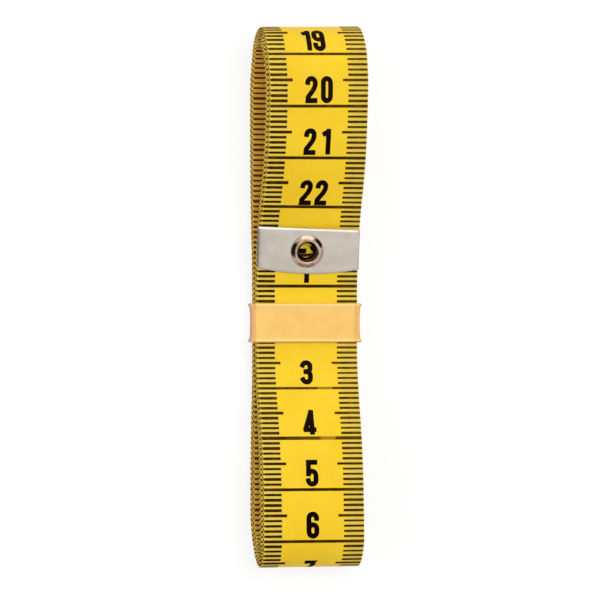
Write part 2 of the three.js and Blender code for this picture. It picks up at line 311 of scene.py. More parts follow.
# Tints: where a tone starts and where it is full, its strength there, and its colour
COAT_SPECK = ((0, 1), 0.16, (230, 184, 34))
MARGIN = ((3.9 * MM, 3.2 * MM), 0.9, (223, 195, 76))
# Painted shade: the back face of the coat is browner, for the hollows between the turns
BACK_COAT_SHADE = ((-0.05 * MM, -0.11 * MM), 0.85, (226, 178, 70))
SELVAGE = ((0.3 * MM, 0), 0.35, (230, 197, 82))
RUBBED_INK = ((0, 1), 1, (128, 94, 32))
GAP_INK = ((0, 1), 1, (186, 146, 34))
# Painted shade: ink on the back face is a warm brown, for the hollows between the turns
BACK_INK_SHADE = ((0, -0.1 * MM), 1, (98, 54, 28))
EDGE_INK = ((HALF_WIDTH - 0.16 * MM, HALF_WIDTH), 0.58, (136, 98, 32))
# Painted shade: a dark line along the tip's side edges
PLATE_EDGE_SHADE = ((TIP_WIDTH / 2 - 0.09 * MM, TIP_WIDTH / 2 - 0.05 * MM), 0.8, (96, 84, 70))
# Painted shade: the bore of the eyelet is near black
BORE_SHADE = ((EYELET_BORE + 0.07 * MM, EYELET_BORE - 0.01 * MM), 0.95, (44, 34, 24))
# Painted highlight: a pale line along each lip of the band
LATEX_LIP_HIGHLIGHT = ((0, 1), 0.72, (253, 225, 152))
# Painted shade: a warm darker line at the very rims of the band
LATEX_RIM_SHADE = ((1, 0), 1, (222, 150, 70))
# Painted shade: a darker line at the crease where the band turns to its side
LATEX_CREASE_SHADE = ((0.3 * MM, 0.08 * MM), 0.5, (222, 156, 78))
# Painted shade: a wider warm dark line along the band's lower rim
LATEX_LOWER_RIM_SHADE = ((0.26 * MM, 0.12 * MM), 0.85, (228, 146, 48))
LATEX_SPECK = ((0, 1), 0.15, (224, 165, 80))

# Shares: where one starts and where it is full, and how much it is there
RUBBED_RIGHT = ((4 * MM, 8 * MM), 0.3)
RUBBED_TOP = ((30 * MM, 48 * MM), 0.45)
OFF_RIM = ((0.01 * MM, 0.08 * MM), 1)
# Where the painted highlight on a lip lies, measured from the rim
LIP_HIGHLIGHT_SHARE = ((0.8 * MM, 0.45 * MM), 1)
# Painted shade: where the band's side walls take the shaded colour, and the heights over which that shade
# lightens
BAND_SIDE_SHADE_SHARE = ((10.15 * MM, 10.55 * MM), 0.95)
BAND_SIDE_LIGHT = ((1.9 * MM, 4.4 * MM), 1)

# Shares round a middle: the middle, the far and near distances from it, and how much it is there
RUBBED_BELOW_BAND = (-18 * MM, (12 * MM, 6 * MM), 0.3)
RUBBED_LINES = (-22.5 * MM, (11 * MM, 6.5 * MM), 1)
RUBBED_FIELD = (0, (5.6 * MM, 5 * MM), 0.3)
LINE_GAP = (3.2 * MM, (1.7 * MM, 1.3 * MM), 0.7)

# Other values of the finishes: a bump is strength and distance, roughness goes from least to most
THREAD = 0.3 * MM
WEAVE_SHARE = 0.5
COAT_BUMP = (0.12, 0.03 * MM)
COAT_ROUGHNESS = (0.46, 0.6)
COAT_SPECULAR = 0.25
MARK_RUB = 1
NUMBER_RUB = 0.12
MOST_WORN = 0.45
LEAST_BLOTCH = 0.25
INK_ROUGHNESS = (0.62, 0.75)
INK_SPECULAR = 0.03
PLATE_STRETCH = (0.12, 1, 1)
PLATE_LINES = (6000, 2)
PLATE_BUMP = (0.1, 0.02 * MM)
PLATE_ROUGHNESS = (0.26, 0.36)
NICKEL_ROUGHNESS = (0.07, 0.15)
# Place across the band of the painted crease shade
CREASE_ASIDE = 9.6 * MM
LATEX_BUMP = (0.1, 0.03 * MM)
LATEX_ROUGHNESS = (0.38, 0.5)
LATEX_SPECULAR = 0.25
LATEX_DEPTH = {"Subsurface_Weight": 0.15, "Subsurface_Radius": (1, 0.5, 0.2), "Subsurface_Scale": 0.6 * MM}
NOISE_ROUGHNESS = 0.55

# Camera of the photograph, and its image
IMAGE_SIZE = 600
CAMERA_TILT = math.radians(13.62)
CAMERA_DISTANCE = 711.75 * MM
CAMERA_FOCUS = 3662.4
CAMERA_AIM = Vector((-1.43, -0.542, 5.7)) * MM
SENSOR = 36
CLIP_START = 10 * MM

# Studio: the floor, the light all round, and the light of the room that metal mirrors, by height
FLOOR_HALF = 3
FLOOR_LEVEL = -0.03 * MM
FLOOR_PAINT = (0.86, 0.86, 0.86, 1)
FLOOR_SHADE = (0.22, 0.22, 0.22, 1)
FLOOR_GLOW = 0.8
WHITE = (1, 1, 1, 1)
AMBIENT = 0.46
ROOM_LIGHT = (0, 0.7, 0.6, 1)

# Panels in that room: direction, cosines at the rim and core, and share of the room's light
PANELS = (
    ((-0.54, -0.38, 0.75), 0.82, 0.94, 0.02),
    ((0.8, 0.06, 0.6), 0.94, 0.974, 0.02),
    ((0.2, -0.95, 0.2), 0.86, 0.95, 0.5),
    ((0.22, 0.4, 0.89), 0.9, 0.96, 2.1),
)

# Softboxes: name, place and size in metres, power in watts, and whether metal mirrors it
SOFTBOXES = (
    ("key_softbox", (0.1, 0.16, 0.87), 0.5, 3.85, False),
    ("end_softbox", (0, 0.65, 0.3), 0.3, 0.5, True),
    ("side_softbox", (-0.75, 0.05, 0.32), 0.5, 2.2, False),
)

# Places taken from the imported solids
winding_low, winding_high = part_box("tape_winding")
band_low, band_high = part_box("rubber_band")
hinge_place = next(joint["pos_m"] for joint in frame["joints"] if joint["name"] == "free_end_lift")
HINGE_Y = hinge_place[1]
WAIST_TOP = band_high.z - BAND_WALL
WAIST_UNDER = band_low.z + BAND_WALL
WAIST_LOW_Y = band_low.y - WAIST_MARGIN
UPPER_END = winding_high.y
LOWER_END = winding_low.y
UPPER_LOOP_HEIGHT = winding_high.z
BAND_HALF = (band_high.y - band_low.y) / 2
BAND_CENTRE = (band_high.y + band_low.y) / 2


# Nodes, objects and meshes

class Nodes:
    """A node tree, of a material or of geometry, filled by short calls."""

    def __init__(self, tree):
        self.tree = tree

    def add(self, kind, feeds=None, **settings):
        node = self.tree.nodes.new(kind)
        for key, value in settings.items():
            setattr(node, key, value)
        for key, value in (feeds or {}).items():
            self.feed(node.inputs[key], value)
        return node

    def feed(self, socket, value):
        if isinstance(value, bpy.types.NodeSocket):
            self.tree.links.new(value, socket)
        else:
            socket.default_value = value

    def math(self, operation, *values):
        return self.add("ShaderNodeMath", dict(enumerate(values)), operation=operation).outputs[0]

    def plus(self, first, second):
        return self.math("ADD", first, second)

    def minus(self, first, second):
        return self.math("SUBTRACT", first, second)

    def times(self, first, second):
        return self.math("MULTIPLY", first, second)

    def times_plus(self, first, second, third):
        return self.math("MULTIPLY_ADD", first, second, third)

    def size(self, value):
        return self.math("ABSOLUTE", value)

    def vector(self, operation, *values):
        return self.add("ShaderNodeVectorMath", dict(enumerate(values)), operation=operation).outputs

    def scaled(self, vector, factor):
        feeds = {"Vector": vector, "Scale": factor}
        return self.add("ShaderNodeVectorMath", feeds, operation="SCALE").outputs[0]

    def parts(self, vector):
        return self.add("ShaderNodeSeparateXYZ", {0: vector}).outputs

    def xyz(self, **parts):
        return self.add("ShaderNodeCombineXYZ", parts).outputs[0]

    def spread(self, value, low, high, out_low, out_high):
        feeds = {"Value": value, "From Min": low, "From Max": high, "To Min": out_low, "To Max": out_high}
        return self.add("ShaderNodeMapRange", feeds).outputs["Result"]


class GeometryTree(Nodes):
    """A geometry node tree with named inputs."""

    def __init__(self, name, inputs):
        super().__init__(bpy.data.node_groups.new(name, "GeometryNodeTree"))
        face = self.tree.interface
        face.new_socket("Geometry", in_out="OUTPUT", socket_type="NodeSocketGeometry")
        self.keys = {}
        for label, kind in inputs.items():
            socket = face.new_socket(label, in_out="INPUT", socket_type="NodeSocket" + kind)
            self.keys[label] = socket.identifier
        self.start = self.add("NodeGroupInput")

    def given(self, label):
        return self.start.outputs[label]

    def on_route(self, route, value, travel):
        feeds = {"Curves": route, "Value": value, "Length": travel}
        return self.add("GeometryNodeSampleCurve", feeds, mode="LENGTH").outputs

    def finish(self, geometry):
        self.add("NodeGroupOutput", {"Geometry": geometry})
        return self


def object_from(name, mesh):
    piece = bpy.data.objects.new(name, mesh)
    bpy.context.scene.collection.objects.link(piece)
    return piece


def mesh_from(name, points, faces):
    """A mesh with its faces turned outwards."""
    mesh = bpy.data.meshes.new(name)
    mesh.from_pydata([tuple(point) for point in points], [], faces)
    mesh.update()
    work = bmesh.new()
    work.from_mesh(mesh)
    bmesh.ops.recalc_face_normals(work, faces=work.faces)
    work.to_mesh(mesh)
    work.free()
    return mesh


def add_tree(piece, tree, values):
    """Puts a geometry node tree on a piece and sets its named inputs."""
    modifier = piece.modifiers.new(tree.tree.name, "NODES")
    modifier.node_group = tree.tree
    for label, value in values.items():
        modifier[tree.keys[label]] = value


def make_plain(piece, smooth_angle=None):
    """Turns a piece and its modifiers into one plain mesh."""
    bpy.context.view_layer.update()
    graph = bpy.context.evaluated_depsgraph_get()
    mesh = bpy.data.meshes.new_from_object(
        piece.evaluated_get(graph), preserve_all_data_layers=True, depsgraph=graph
    )
    mesh.name = piece.name
    piece.modifiers.clear()
    piece.data = mesh
    if smooth_angle is not None:
        mesh.shade_smooth()
        mesh.set_sharp_from_angle(angle=math.radians(smooth_angle))
    return piece


# Route of the tape

def ease(share):
    return share * share * (3 - 2 * share)


def cubic(controls, count):
    """Points and unit tangents of a cubic curve in the side view."""
    share = np.linspace(0, 1, count + 1)[:, None]
    rest = 1 - share
    a, b, c, d = (np.array(control, float) for control in controls)
    points = rest**3 * a + 3 * rest**2 * share * b + 3 * rest * share**2 * c + share**3 * d
    tangents = rest**2 * (b - a) + 2 * rest * share * (c - b) + share**2 * (d - c)
    return points, tangents / np.linalg.norm(tangents, axis=1)[:, None]


def inward_of(tangents):
    return np.column_stack([-tangents[:, 1], tangents[:, 0]])


def travel_along(points):
    """Distance from the first point to each point along a line."""
    return np.concatenate([[0], np.cumsum(np.linalg.norm(np.diff(points, axis=0), axis=1))])


def line(start, end):
    start, end = np.array(start), np.array(end)
    return start, start + (end - start) / 3, start + (end - start) * 2 / 3, end


def slope(start, end, start_handle, end_handle):
    run = end[0] - start[0]
    return start, (start[0] + run * start_handle, start[1]), (end[0] - run * end_handle, end[1]), end


def quarter(start, end, starts_level, handle):
    run = (end[0] - start[0]) * handle
    rise = (end[1] - start[1]) * handle
    if starts_level:
        return start, (start[0] + run, start[1]), (end[0], end[1] - rise), end
    return start, (start[0], start[1] + rise), (end[0] - run, end[1]), end


def loop(name, waist, end, height, sizes):
    """Stretches of a loop's outer face, from the waist's top over the end to the waist's underside."""
    inwards = math.copysign(1, waist - end)
    crest = (end + inwards * sizes["crest_inset"], height)
    tail = (end, height * sizes["end_rise"])
    heel = (end + inwards * sizes["foot_inset"], 0)
    toe = (heel[0] + inwards * sizes["foot_run"], 0)
    bend = name + "_end"
    return (
        (slope((waist, WAIST_TOP), crest, WAIST_HANDLE, sizes["crest_handle"]), ("waist", name), (1, 1)),
        (quarter(crest, tail, True, sizes["round_handle"]), (name, bend), (1, 1)),
        (quarter(tail, heel, False, sizes["slant_handle"]), (bend, name), (1, 0)),
        (line(heel, toe), (name, name), (0, 0)),
        (slope(toe, (waist, WAIST_UNDER), FOOT_HANDLE, FOOT_HANDLE), (name, "waist"), (0, 0)),
    )


def outer_turn():
    """One turn of the hank's outer face from the hinge line on: each stretch has its curve, the names
    of its spacings at both ends and the share of the tilt at both ends. The tape drops a turn along
    the last stretch."""
    top = line((HINGE_Y, WAIST_TOP), (WAIST_LOW_Y, WAIST_TOP))
    under = line((WAIST_LOW_Y, WAIST_UNDER), (HINGE_Y, WAIST_UNDER))
    waist = ("waist", "waist")
    lower = loop("lower", WAIST_LOW_Y, LOWER_END, LOWER_LOOP_HEIGHT, LOWER_LOOP)
    upper = loop("upper", HINGE_Y, UPPER_END, UPPER_LOOP_HEIGHT, UPPER_LOOP)
    upwards = [tuple(part[::-1] for part in stretch) for stretch in upper[::-1]]
    return [(top, waist, (1, 1)), *lower, (under, waist, (0, 0)), *upwards]


def value_at(along, table):
    """Value from a table of places along the hank, in millimetres, and values."""
    places, values = zip(*table)
    return np.interp(along / MM, places, values)


def spacing_between(names, share):
    first, last = (SPACING[name] * MM for name in names)
    return first + (last - first) * ease(share)


def rounds(controls):
    """True for a quarter turn at an end of a loop."""
    start, after_start, before_end, end = (np.array(control) for control in controls)
    return abs((after_start - start) @ (end - before_end)) < SQUARE_TURN


def nested(controls, tangents, depths):
    """A quarter turn of an inner turn: the outer one's form between ends that lie deeper."""
    outer = np.array(controls)
    ends = outer[[0, 3]] + inward_of(tangents) * depths[:, None]
    return ends[0] + (outer - outer[0]) * (ends[1] - ends[0]) / (outer[3] - outer[0])


def wound_turns():
    """Centre line of the winding, from the hinge line to the middle of the waist, with the share of
    the tilt and the depth under the outer face there."""
    stretches = outer_turn()
    waist_middle = (WAIST_TOP - WAIST_UNDER - TAPE_THICKNESS) / 2
    last_level = waist_middle / (SPACING["waist"] * MM)
    points, shares, depths = [], [], []
    for turn in range(TURN_COUNT):
        next_level = turn + 1 if turn < TURN_COUNT - 1 else last_level
        for order, (controls, names, fronts) in enumerate(stretches):
            length = travel_along(cubic(controls, MEASURE_STEPS)[0])[-1]
            count = max(FEWEST_STEPS, int(length / CURVE_STEP))
            outer, tangents = cubic(controls, count)
            share = np.linspace(0, 1, count + 1)
            spacing = spacing_between(names, share)
            depth = turn * spacing
            under = depth
            if rounds(controls):
                outer, tangents = cubic(nested(controls, tangents[[0, -1]], depth[[0, -1]]), count)
                under = np.zeros(count + 1)
            if order == len(stretches) - 1:
                level = turn + ease(np.clip(share / DROP_SHARE, 0, 1)) * (next_level - turn)
                dip = np.sin(math.pi * np.clip((share - DIP_START) / (1 - DIP_START), 0, 1)) ** 2
                depth = level * spacing + EYELET_DIP * dip
                under = depth
            centre = outer + inward_of(tangents) * (under + HALF_THICKNESS)[:, None]
            front = fronts[0] + (fronts[1] - fronts[0]) * ease(share)
            points.append(centre[:-1])
            shares.append(front[:-1])
            depths.append(depth[:-1])
    return np.concatenate(points), np.concatenate(shares), np.concatenate(depths)


def tip_frame(node, towards):
    """Where the tape ends in a CAD tip, and the way out of the tape there, in the side view."""
    mesh = frame["nodes"][node].data
    flat = max(mesh.polygons, key=lambda face: face.area if face.normal.z > LOOKS_UP else 0)
    up = np.array(flat.normal)
    out = np.array([0, up[2], -up[1]]) * towards
    places = np.array([vertex.co for vertex in mesh.vertices])
    reach = (places @ out).max() - TIP_FOLD
    level = ((places @ up).max() + (places @ up).min()) / 2
    return (out * reach + up * level)[1:], out[1:]


def tape_route():
    """The tape's centre line at even steps, its tilt and yaw there, and the tape's length."""
    tip_end, tip_out = tip_frame("tip_plate", 1)
    inner_end, inner_out = tip_frame("inner_tip_plate", -1)
    winding, winding_share, winding_depth = wound_turns()

    bend_start = tip_end - tip_out * TIP_LENGTH
    root = np.array([HINGE_Y, WAIST_TOP - HALF_THICKNESS])
    run = (bend_start[0] - root[0]) / 2
    bend = cubic((bend_start, bend_start - tip_out * run, root + (run, 0), root), BEND_STEPS)[0]
    flap = np.vstack([tip_end + tip_out * PATH_LEAD, tip_end, bend[:-1]])

    inner_end = inner_end - inner_out * INNER_TIP_SHORT
    inner_run = np.vstack([inner_end, inner_end + inner_out * PATH_LEAD])
    points = np.vstack([flap, winding, inner_run])
    both_ends = (len(flap), len(inner_run))
    shares = np.pad(winding_share, both_ends)
    depths = np.pad(winding_depth, both_ends)
    travelled = travel_along(points)
    even = np.arange(int(travelled[-1] / PATH_STEP) + 1) * PATH_STEP
    along, up, share, depth = (np.interp(even, travelled, values) for values in (*points.T, shares, depths))
    sway = sum(np.sin(math.tau * even / length) for length in WANDER_LENGTHS)
    hold = ease(np.clip((even - PATH_LEAD - SEAM) / WANDER_RUN, 0, 1))
    flap_share = ease(np.clip(1 - (even - PATH_LEAD) / FLAP_ASIDE_RUN, 0, 1))
    tilt = np.radians(value_at(along, TILT)) * share
    yaw = np.radians(value_at(along, YAW)) * share
    runs_aside = value_at(along, FRONT_ASIDE) * share + value_at(along, BACK_ASIDE) * (1 - share) * hold
    aside = WANDER * sway * hold + FLAP_ASIDE * flap_share + runs_aside * MM - depth * np.sin(tilt)
    return np.column_stack([aside, along, up]), tilt, yaw, travelled[-1] - 2 * PATH_LEAD


def route_curve(points, tilts, yaws):
    """The route as a curve object: a point's tilt holds the tape's tilt, its radius 1 and the yaw."""
    curve = bpy.data.curves.new("tape_route", "CURVE")
    curve.dimensions = "3D"
    spline = curve.splines.new("POLY")
    spline.points.add(len(points) - 1)
    spline.points.foreach_set("co", np.column_stack([points, np.ones(len(points))]).ravel())
    spline.points.foreach_set("tilt", tilts)
    spline.points.foreach_set("radius", 1 + yaws)
    return object_from("tape_route", curve)


# Geometry node trees. Flat pieces have X across the tape, Y along it from its end, Z up from its middle.

def winding_tree():
    """Lays flat geometry on the route."""
    tree = GeometryTree("wind_on_route", {"Geometry": "Geometry", "Route": "Object", "Lead": "Float"})
    place = tree.add("GeometryNodeInputPosition").outputs[0]
    flat = tree.parts(place)
    route = tree.add("GeometryNodeObjectInfo", {"Object": tree.given("Route")}).outputs["Geometry"]
    travel = tree.plus(flat["Y"], tree.given("Lead"))
    spot = tree.on_route(route, tree.add("GeometryNodeInputCurveTilt").outputs[0], travel)
    radius = tree.on_route(route, tree.add("GeometryNodeInputRadius").outputs[0], travel)["Value"]
    yaw = tree.minus(radius, 1)
    fall = tree.times(tree.math("SINE", spot["Value"]), -1)
    across = tree.xyz(X=tree.math("COSINE", spot["Value"]), Y=yaw, Z=fall)
    outward = tree.vector("NORMALIZE", tree.vector("CROSS_PRODUCT", spot["Tangent"], across)[0])[0]
    beside = tree.vector("ADD", spot["Position"], tree.scaled(across, flat["X"]))[0]
    laid = tree.vector("ADD", beside, tree.scaled(outward, flat["Z"]))[0]
    kept = tree.add(
        "GeometryNodeStoreNamedAttribute",
        {"Geometry": tree.given("Geometry"), "Name": "flat", "Value": place},
        data_type="FLOAT_VECTOR",
    ).outputs[0]
    moved = tree.add("GeometryNodeSetPosition", {"Geometry": kept, "Position": laid}).outputs[0]
    return tree.finish(tree.add("GeometryNodeFlipFaces", {"Mesh": moved}).outputs[0])


WIND_ON_ROUTE = winding_tree()
LAYING_INPUTS = {"Route": "Object", "Lead": "Float", "Material": "Material"}
SCALE_INPUTS = {**LAYING_INPUTS, "Zero": "Float", "First": "Int", "Count": "Int", "Spacing": "Float"}


def lay_and_paint(tree, geometry):
    """Ends a tree: realized instances, laid on the route, with their material."""
    real = tree.add("GeometryNodeRealizeInstances", {"Geometry": geometry}).outputs[0]
    laying = {"Geometry": real, "Route": tree.given("Route"), "Lead": tree.given("Lead")}
    wound = tree.add("GeometryNodeGroup", laying, node_tree=WIND_ON_ROUTE.tree).outputs[0]
    painting = {"Geometry": wound, "Material": tree.given("Material")}
    return tree.finish(tree.add("GeometryNodeSetMaterial", painting).outputs[0])


def wound_piece_tree():
    """Lays one flat piece on the route."""
    tree = GeometryTree("wound_piece", {"Geometry": "Geometry", **LAYING_INPUTS})
    return lay_and_paint(tree, tree.given("Geometry"))


def scale_points(tree):
    """Points of the scale, one to a mark or number, and each one's number."""
    spacing = tree.given("Spacing")
    start = tree.xyz(Y=tree.times_plus(tree.given("First"), spacing, tree.given("Zero")))
    row = {"Count": tree.given("Count"), "Start Location": start, "Offset": tree.xyz(Y=spacing)}
    points = tree.add("GeometryNodeMeshLine", row).outputs[0]
    index = tree.add("GeometryNodeInputIndex").outputs[0]
    return points, tree.plus(index, tree.given("First"))


def scale_marks_tree():
    """A mark each millimetre: a line across each centimetre, a longer mark each half."""
    forms = {"Short mark": "Object", "Half mark": "Object", "Long line": "Object"}
    widths = {"Thinnest": "Float", "Thickest": "Float", "Seed": "Int"}
    tree = GeometryTree("scale_marks", {**SCALE_INPUTS, **forms, **widths})
    points, number = scale_points(tree)
    tens = tree.math("COMPARE", tree.math("MODULO", number, MARKS_TO_LINE), 0, TEST_MARGIN)
    fives = tree.math("COMPARE", tree.math("MODULO", number, MARKS_TO_HALF), 0, TEST_MARGIN)
    halves = tree.minus(fives, tens)
    others = tree.minus(1, fives)
    draw = {2: tree.given("Thinnest"), 3: tree.given("Thickest"), "ID": number, "Seed": tree.given("Seed")}
    thickness = tree.add("FunctionNodeRandomValue", draw, data_type="FLOAT").outputs[1]
    scale = tree.xyz(X=1, Y=thickness, Z=1)
    join = tree.add("GeometryNodeJoinGeometry")
    for label, chosen in (("Short mark", others), ("Half mark", halves), ("Long line", tens)):
        source = {"Object": tree.given(label), "As Instance": True}
        form = tree.add("GeometryNodeObjectInfo", source).outputs["Geometry"]
        placing = {"Points": points, "Selection": chosen, "Instance": form, "Scale": scale}
        tree.feed(join.inputs[0], tree.add("GeometryNodeInstanceOnPoints", placing).outputs[0])
    return lay_and_paint(tree, join.outputs[0])


def scale_numerals_tree():
    """The number of each centimetre, put together from the ten digits. Limits lie halfway between two
    numbers."""
    labels = ("Digit step", "Above line", "Aside", "Tens aside", "Leading one", "Leading one closer")
    sizes = {label: "Float" for label in (*labels, "Lone one share", "Late from", "Late closer")}
    tree = GeometryTree("scale_numerals", {**SCALE_INPUTS, "Digits": "Collection", **sizes})
    points, number = scale_points(tree)
    source = {"Collection": tree.given("Digits"), "Separate Children": True, "Reset Children": True}
    digits = tree.add("GeometryNodeCollectionInfo", source).outputs[0]
    has_tens = tree.math("GREATER_THAN", number, 9.5)
    has_hundreds = tree.math("GREATER_THAN", number, 99.5)
    half_more = tree.times(tree.plus(has_tens, has_hundreds), 0.5)
    late = tree.math("GREATER_THAN", tree.plus(number, 0.5), tree.given("Late from"))
    drop = tree.times(tree.given("Above line"), -1)
    drop = tree.times_plus(late, tree.given("Late closer"), drop)
    lone_one = tree.math("LESS_THAN", number, 1.5)
    teens = tree.minus(has_tens, tree.math("GREATER_THAN", number, 19.5))
    several = tree.plus(teens, has_hundreds)
    led_by_one = tree.times_plus(lone_one, tree.given("Lone one share"), several)
    shift = tree.times_plus(led_by_one, tree.given("Leading one"), tree.given("Aside"))
    shift = tree.times_plus(has_tens, tree.given("Tens aside"), shift)
    closer = tree.times(several, tree.given("Leading one closer"))
    join = tree.add("GeometryNodeJoinGeometry")
    for place, chosen in enumerate((True, has_tens, has_hundreds)):
        shifted = tree.math("FLOOR", tree.math("DIVIDE", tree.plus(number, CUT_MARGIN), 10**place))
        steps = tree.minus(half_more, place)
        aside = tree.times_plus(steps, tree.given("Digit step"), shift)
        aside = tree.minus(aside, tree.times(tree.math("SIGN", steps), closer))
        moving = {"Geometry": points, "Offset": tree.xyz(X=aside, Y=drop)}
        moved = tree.add("GeometryNodeSetPosition", moving).outputs[0]
        placing = {"Points": moved, "Selection": chosen, "Instance": digits, "Pick Instance": True}
        placing["Instance Index"] = tree.math("MODULO", shifted, 10)
        tree.feed(join.inputs[0], tree.add("GeometryNodeInstanceOnPoints", placing).outputs[0])
    return lay_and_paint(tree, join.outputs[0])


WOUND_PIECE = wound_piece_tree()
SCALE_MARKS = scale_marks_tree()
SCALE_NUMERALS = scale_numerals_tree()


# Flat pieces

def skin(count, sides, closed):
    """Faces over a row of stations with the same number of sides, capped unless the row is closed."""
    faces = []
    for station in range(count if closed else count - 1):
        a, b = station * sides, (station + 1) % count * sides
        faces += [(a + k, a + (k + 1) % sides, b + (k + 1) % sides, b + k) for k in range(sides)]
    if not closed:
        faces += [tuple(reversed(range(sides))), tuple(range((count - 1) * sides, count * sides))]
    return faces


def arc(x, y, wide, tall, start, end, steps=ARC_STEPS):
    """Points of an elliptic arc, its angles in degrees."""
    angles = np.radians(np.linspace(start, end, steps + 1))
    return [(x + wide * math.cos(angle), y + tall * math.sin(angle)) for angle in angles]


def edge_bend(reach):
    """Points round the tape's right edge, (across, up), at a distance from its middle plane."""
    return arc(STRAIGHT, 0, reach, reach, 90, -90, EDGE_STEPS)


def tape_section():
    """Closed section of the tape, (across, up), as front face, right edge, back face, left edge."""
    front = [(x, HALF_THICKNESS) for x in np.linspace(-STRAIGHT, STRAIGHT, FACE_COLUMNS + 1)]
    right = edge_bend(HALF_THICKNESS)[1:-1]
    return front + right + [(-x, -up) for x, up in front + right]


def tape_map(section, stations):
    """Map of a length of tape: rows of tape side by side, with the cut ends in their margins."""
    sides = len(section)
    start, end = stations[0], stations[-1]
    edges = [math.dist(section[side], section[(side + 1) % sides]) for side in range(sides)]
    share = np.concatenate([[0], np.cumsum(edges)]) / sum(edges)
    rows = max(1, round(math.sqrt((end - start) / (sum(edges) * MAP_ROW_ASPECT))))
    row_length = (end - start) / rows
    corners = []
    for low, high in zip(stations[:-1], stations[1:]):
        row = min(rows - 1, int(((low + high) / 2 - start) / row_length))
        travel = [(at - start - row * row_length) / row_length for at in (low, high)]
        near, far = (MAP_END_MARGIN + (1 - 2 * MAP_END_MARGIN) * way for way in travel)
        heights = (row + MAP_ROW_MARGIN + (1 - 2 * MAP_ROW_MARGIN) * share) / rows
        for under, over in zip(heights[:-1], heights[1:]):
            corners += [(near, under), (near, over), (far, over), (far, under)]
    for margin, order in ((MAP_CAP_MARGIN, section[::-1]), (1 - MAP_CAP_MARGIN, section)):
        for x, up in order:
            aside = margin + MAP_CAP_DEPTH * up / TAPE_THICKNESS
            corners.append((aside, (0.5 + MAP_CAP_SHARE * x / TAPE_WIDTH) / rows))
    return corners


def flat_tape(name, start, end, mapped):
    """A flat length of tape, with its own map where asked."""
    section = tape_section()
    stations = np.arange(math.ceil(start / PATH_STEP), math.floor(end / PATH_STEP) + 1) * PATH_STEP
    stations = np.unique(np.round(np.concatenate([[start], stations, [end]]), STATION_DECIMALS))
    points = [(x, along, up) for along in stations for x, up in section]
    mesh = mesh_from(name, points, skin(len(stations), len(section), False))
    if mapped:
        layer = mesh.uv_layers.new(name="OFBake")
        layer.data.foreach_set("uv", np.array(tape_map(section, stations)).ravel())
    mesh.shade_smooth()
    return object_from(name, mesh)


def ribbon(outer, inner, widths, closed):
    """A thin closed strip of ink whose outer and inner faces follow two lines, (across, up)."""
    points = []
    for (x, up), (deep_x, deep_up), width in zip(outer, inner, widths):
        half = width / 2
        points += [(x, -half, up), (x, half, up), (deep_x, half, deep_up), (deep_x, -half, deep_up)]
    return points, skin(len(outer), 4, closed)


def joined(parts):
    points, faces = [], []
    for more_points, more_faces in parts:
        base = len(points)
        points += more_points
        faces += [tuple(base + corner for corner in face) for face in more_faces]
    return points, faces


def edge_mark(name, lengths, width):
    """A mark at both edges of the tape, left and right, printed over the edge onto the back."""
    parts = []
    for side, length, share in zip((-1, 1), lengths, SIDE_INK_SHARES):
        inset = HALF_WIDTH - length
        lines = []
        for reach in (INK_TOP, INK_FOOT):
            bend = edge_bend(reach)
            whole = [(inset, reach), (STRAIGHT - EDGE_INK_RUN, reach), *bend, (inset, -reach)]
            lines.append([(side * x, up) for x, up in whole])
        face = width * share
        widths = [face, face, *[face * EDGE_INK_SHARE] * len(bend), face * BACK_INK_SHARE]
        parts.append(ribbon(*lines, widths, False))
    return object_from(name, mesh_from(name, *joined(parts)))


def long_line(name):
    """A line all round the tape."""
    lines = []
    for reach in (INK_TOP, INK_FOOT):
        right = edge_bend(reach)
        front = [(share * STRAIGHT, reach) for share in LINE_STATIONS]
        lines.append(right + [(-x, -up) for x, up in right] + front)
    return object_from(name, mesh_from(name, *ribbon(*lines, [LINE_WIDTH] * len(lines[0]), True)))


